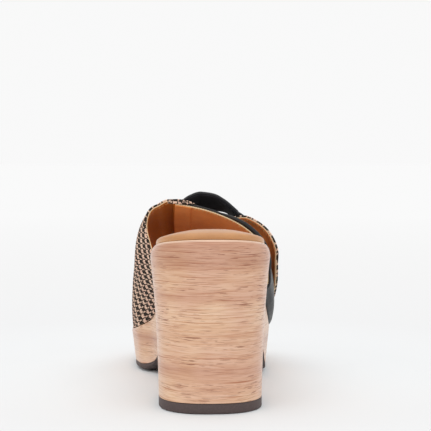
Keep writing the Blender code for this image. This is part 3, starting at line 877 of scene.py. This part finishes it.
# The loop's leather has a painted highlight: its rim, the cut edge all round, is a paler grey
LOOP_LEATHER_PAINTED_HIGHLIGHT = leather_material(
    "loop_leather_painted_highlight", srgb(19, 19, 21), srgb(12, 12, 13), grain=1700.0, roughness=0.5,
    coat=0.0, specular=0.2, edge=srgb(50, 50, 53),
)
BLACK_SUEDE = leather_material(
    "black_suede", srgb(50, 49, 54), srgb(40, 39, 43), grain=2200.0, roughness=0.85,
    coat=0.0, specular=0.08,
)
CREAM = thread_material("cream_edge", srgb(238, 214, 176), srgb(216, 186, 144))
THREAD = thread_material("tan_thread", srgb(222, 180, 118), srgb(186, 140, 84))


def own_points(piece):
    """A piece's points in the shoe's own frame."""
    return np.array([v.co for v in piece.data.vertices]) - SHIFT


def stitch_place(base):
    """Which place of a wall's rows lies at the stitching's distance from its edge."""
    step = np.linalg.norm(base[:, 1] - base[:, 0], axis=1).mean()
    return max(1, int(round(EDGE_TO_STITCH / step)))


def mark_rim(piece, shares):
    """Tells a piece's material how much of its edge tone each point takes."""
    attribute = piece.data.attributes.new("rim", "FLOAT", "POINT")
    attribute.data.foreach_set("value", shares.astype(np.float32))


def wood_piece():
    """The wood-look block, with a painted highlight as a paler line along its top edge at the heel."""
    places = stations()
    bottom = underside(places)
    shoulder, sides_end = sole_size("shoulder", places), side_top(places)
    rings = []
    for up in np.linspace(0.0, 1.0, WOOD_RINGS):
        heights = bottom + up * (sides_end - bottom)
        rings.append(ring_at(places, heights, side_inset(places, heights)))
    for turn in np.radians(QUARTER_TURN[1:]):
        heights = sides_end + SHOULDER_STRETCH * shoulder * np.sin(turn)
        rings.append(ring_at(places, heights, shoulder * (1.0 - np.cos(turn))))
    piece = stack("wood_block", rings, WOOD, "wood_sole")
    points = own_points(piece)
    from_top = sole_size("top", points[:, 1]) - points[:, 2]
    # Painted highlight along the top edge at the heel
    mark_rim(piece, smooth_step(*PAINTED_HIGHLIGHT_EDGE, from_top) * smooth_step(*PAINTED_HIGHLIGHT_HEEL, points[:, 1]))


def rubber_pieces():
    """Top piece under the heel and sheet under the forefoot, each rounded along its lower edge."""
    for name, node, places, thick in (
        ("heel_top_piece", "heel_tip", stations(end=HEEL_BREAST), HEEL_TIP),
        ("forefoot_sheet", "outsole", stations(start=OUTSOLE_START), OUTSOLE),
    ):
        top = underside(places)
        round_in = round_up = HEEL_TIP_ROUND
        if node == "heel_tip":
            top = np.full_like(places, HEEL_TIP)
        flush = side_inset(places, top)
        if node == "outsole":
            skive = smooth_step(OUTSOLE_START, OUTSOLE_START + OUTSOLE_SKIVE, places)
            thick = thick * (SKIVED_SHARE + (1.0 - SKIVED_SHARE) * skive)
            round_in, round_up = OUTSOLE_ROLL_IN, np.minimum(OUTSOLE_ROLL_UP, ROLLED_SHARE * thick)
        low = top - thick
        rings = [
            ring_at(places, low + round_up * (1 - np.cos(a)), flush + round_in * (1 - np.sin(a)))
            for a in np.radians(QUARTER_TURN)
        ]
        rings.append(ring_at(places, top - GAP - RUBBER_BEVEL_UP, flush))
        rings.append(ring_at(places, top - GAP, flush + RUBBER_BEVEL_IN))
        stack(name, rings, RUBBER, node)


def insole_piece():
    """The domed insole, with a fold at its edge where the leather turns under."""
    places = stations()
    top = sole_size("top", places)
    edge = column(LAST_TABLE, LAST_COLUMNS, "lateral_inset", places / MM) * MM + INSOLE_CLEAR
    rings = [
        ring_at(places, top + INSOLE_EDGE * up, edge + INSOLE_ROLL * inset)
        for up, inset in INSOLE_PROFILE
    ]
    for share in CROWN_SHARES:
        lift = INSOLE_EDGE + INSOLE_CROWN * (1.0 - (1.0 - share) ** CROWN_POWER)
        rings.append(ring_at(places, top + lift, edge + CROWN_REACH * share))
    piece = stack("insole_pad", rings, INSOLE_LEATHER, "insole")
    points = own_points(piece)
    from_wood = points[:, 2] - sole_size("top", points[:, 1])
    mark_rim(piece, smooth_step(*INSOLE_FOLD, from_wood))


def band_pieces():
    """The woven band with its lining, a cream edge between the two, and stitching inside the edge."""
    girths = np.linspace(-1.0, 1.0, BAND_ROWS)
    backs, fronts = fabric_edge("back", girths), fabric_edge("front", girths)
    base = surface(girths, backs, fronts, fabric_height, BAND_PLACES)
    normals = grid_normals(base)
    share = np.linspace(0.0, 1.0, base.shape[1])[None, :]
    y = backs[:, None] + (fronts - backs)[:, None] * share
    threads = thread_count(y, np.broadcast_to(girths[:, None], y.shape))
    edge_height = normals * (LINING + PLY_GAP)
    inner = rest_on_sole(base + edge_height)
    outer = rest_on_sole(base + normals * WALL)
    weave = shell("band_weave", inner, outer, WEAVE, threads, 0.9)
    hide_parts("fabric_upper")
    lining_out = rest_on_sole(base + normals * LINING)
    lining_in = rest_on_sole(base.copy())
    flap = int(np.searchsorted(girths, FLAP_SEAM))
    # Painted shade on the medial wall's lining, painted light on the flap's lining
    shell("band_lining", lining_in[:flap], lining_out[:flap], SHADED_LINING)
    shell("painted_lit_flap_lining", lining_in[flap:], lining_out[flap:], PAINTED_LIT_FLAP_LINING)
    hem_piece()
    for name, j in (("band_edge_back", 0), ("band_edge_front", -1)):
        tube(name, rest_on_sole(base[:, j] + edge_height[:, j]), PIPING, CREAM)
    rows, back = BAND_STITCH_ROWS, stitch_place(base)
    for name, j in (("band_stitches_back", back), ("band_stitches_front", -1 - back)):
        stitches(name, base[rows, j], -normals[rows, j], THREAD)


def hem_piece():
    """The woven band's hem, turned down over the corner of the lateral panel's back edge."""
    girths = np.linspace(*HEM_GIRTHS, HEM_ROWS)
    rise = np.linspace(0.0, 1.0, HEM_PLACES)[None, :]
    spread = smooth_step(*HEM_SPREAD, np.linspace(0.0, 1.0, HEM_ROWS))
    low = HEM_FOOT + (WALL - HEM_FOOT) * spread
    height = low[:, None] + (WALL + LAP_CLEAR + LINING - low[:, None]) * rise
    panel_back = column(PANEL_TABLE, PANEL_COLUMNS, "back", girths)[:, None] * MM - HEM_WALL - GAP
    lean = smooth_step(WALL * HEM_LEAN_FROM, WALL + LAP_CLEAR + LINING, height)
    y = panel_back + (fabric_edge("back", girths)[:, None] - panel_back) * lean
    girth = np.broadcast_to(girths[:, None], y.shape)
    outward, backward = last_normal(y, girth), np.array((0.0, -HEM_WALL, 0.0))
    inner = last_point(y, girth) + outward * height[..., None]
    threads = thread_count(y - (WALL + LAP_CLEAR - height), girth)
    outer = inner + backward + outward * (HEM_WALL * lean)[..., None]
    shell("band_hem", inner, outer, WEAVE, threads)


def panel_pieces():
    """The lateral panel: black leather outside, tan lining inside, with a cream edge and stitching."""
    girths = np.linspace(PANEL_TABLE[0][0], 1.0, PANEL_ROWS)
    backs = column(PANEL_TABLE, PANEL_COLUMNS, "back", girths) * MM
    fronts = column(PANEL_TABLE, PANEL_COLUMNS, "front", girths) * MM

    def on_last(y, girth):
        return np.zeros_like(y)

    base = surface(girths, backs, fronts, on_last, PANEL_PLACES, PANEL_SWEEP)
    normals = grid_normals(base)
    inner = rest_on_sole(base + normals * (LINING + PLY_GAP))[FOLD_ROWS:]
    outer = rest_on_sole(base + normals * WALL)[FOLD_ROWS:]
    leather = shell("panel_leather", inner, outer, BLACK_LEATHER, None, 0.8)
    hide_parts("lateral_panel")
    lining_out = rest_on_sole(base + normals * LINING)
    # Painted light on the panel's lining and facing, painted shade on its fold
    shell("panel_lining", rest_on_sole(base.copy()), lining_out, PAINTED_LIT_LINING)
    fold = base[0] + normals[0] * WALL / 2
    tube("panel_fold", rest_on_sole(fold), WALL / 2, SHADED_LINING, FOLD_SIDES)
    ridge, outward = base[:FACING_ROWS], normals[:FACING_ROWS]
    facing_in, facing_out = ridge - outward * FACING, ridge - outward * FACING_GAP
    shell("panel_facing", facing_in, facing_out, PAINTED_LIT_LINING)
    back_edge = rest_on_sole(base[:, 0] + normals[:, 0] * (LINING * PIPING_DEPTH))
    beaded_edge("panel_edge_back", back_edge, PIPING, CREAM)
    rolled = (girths > ROLL_GIRTHS[0]) & (girths < ROLL_GIRTHS[1])
    roll = ROLL * smooth_step(*ROLL_GROWS, girths) * (1.0 - smooth_step(*ROLL_FADES, girths))
    top_edge = base[:, 0] + normals[:, 0] * (LINING + roll[:, None])
    tube("panel_roll", top_edge[rolled], roll[rolled], BLACK_LEATHER, ROLL_SIDES)
    rows, j = PANEL_STITCH_ROWS, stitch_place(base)
    stitches("panel_stitches_back", base[rows, j], -normals[rows, j], THREAD)


def loop_piece():
    """The leather loop, black outside with a painted highlight on its rim, and a dark suede lining
    inside.
    """
    girths = np.concatenate([np.linspace(*span) for span in LOOP_SPANS])
    centre, half, off, tilt = (
        column(LOOP_TABLE, LOOP_COLUMNS, name, girths) * MM for name in LOOP_COLUMNS[1:]
    )
    offs = off[:, None] + tilt[:, None] * np.linspace(0.0, 1.0, LOOP_PLACES)[None, :]

    def over_band(y, girth):
        return loop_height(y, girth, offs)

    base = surface(girths, centre - half, centre + half, over_band, LOOP_PLACES)
    normals = grid_normals(base)
    outer = rest_on_sole(base + normals * STRAP_WALL)
    inner = rest_on_sole(base + normals * (LOOP_LINING + PLY_GAP))
    leather = shell("loop_leather_painted_highlight", inner, outer, LOOP_LEATHER_PAINTED_HIGHLIGHT, None, 0.9)
    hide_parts("loop_strap")
    lining_out = rest_on_sole(base + normals * LOOP_LINING)
    shell("loop_lining", rest_on_sole(base.copy()), lining_out, BLACK_SUEDE)


def camera():
    """A camera at the photograph's place behind the heel, turned so that no lens shift is needed."""
    ahead = Vector((np.sin(SHOE_YAW), np.cos(SHOE_YAW), 0.0))
    right = Vector((ahead.y, -ahead.x, 0.0))
    pitch = (IMAGE / 2 - HORIZON_PIXEL) / FOCAL_PIXELS
    turn = (IMAGE / 2 - AXIS_PIXEL) / FOCAL_PIXELS
    look = (ahead + right * turn - Vector((0.0, 0.0, pitch))).normalized()
    side = look.cross(Vector((0.0, 0.0, 1.0))).normalized()
    turned = Matrix((side, side.cross(look), -look)).transposed().to_4x4()
    eye = Vector(SHIFT) + Vector((0.0, 0.0, EYE_HEIGHT)) - ahead * EYE_DISTANCE
    data = bpy.data.cameras.new("photo_camera")
    data.sensor_width = SENSOR
    data.lens = FOCAL_PIXELS / IMAGE * SENSOR
    data.clip_start = NEAR_CLIP
    obj = bpy.data.objects.new("photo_camera", data)
    obj.matrix_world = Matrix.Translation(eye) @ turned
    bpy.context.scene.collection.objects.link(obj)
    bpy.context.scene.camera = obj


def studio():
    """A pale floor with painted light close round the shoe that fades into a white surround, lit from
    above and from behind the camera.
    """
    bm = bmesh.new()
    bmesh.ops.create_grid(bm, x_segments=2, y_segments=2, size=FLOOR_HALF)
    mesh = bpy.data.meshes.new("studio_floor")
    bm.to_mesh(mesh)
    bm.free()
    shader = Shader("studio_floor")
    away = shader.add("VectorMath", {0: shader.place()}, output=1, operation="LENGTH")
    reach = shader.math("MULTIPLY", away, FLOOR_RATE, clamp=True)
    # Painted light: the floor is paler close round the shoe, where its shadow falls
    tone = shader.ramp(reach, *FLOOR_PAINTED_LIGHT, (FAR_STOP, grey(FLOOR_FAR)))
    shader.set(Base_Color=tone, Roughness=1.0, Specular_IOR_Level=0.0)
    mesh.materials.append(shader.material)
    floor = bpy.data.objects.new("studio_floor", mesh)
    floor.location = (0.0, 0.0, -FLOOR_DROP)
    bpy.context.scene.collection.objects.link(floor)
    world = bpy.data.worlds.new("studio_world")
    world.use_nodes = True
    background = world.node_tree.nodes["Background"]
    background.inputs["Color"].default_value = (1.0, 1.0, 1.0, 1.0)
    background.inputs["Strength"].default_value = SURROUND
    bpy.context.scene.world = world
    for name, energy, angle, heading in LIGHTS:
        light = bpy.data.lights.new(name, "SUN")
        light.energy, light.angle = energy, np.radians(angle)
        obj = bpy.data.objects.new(name, light)
        obj.rotation_euler = Vector(heading).to_track_quat("-Z", "Y").to_euler()
        bpy.context.scene.collection.objects.link(obj)
    bpy.context.scene.view_settings.view_transform = "Standard"


wood_piece()
rubber_pieces()
insole_piece()
band_pieces()
panel_pieces()
loop_piece()
camera()
studio()
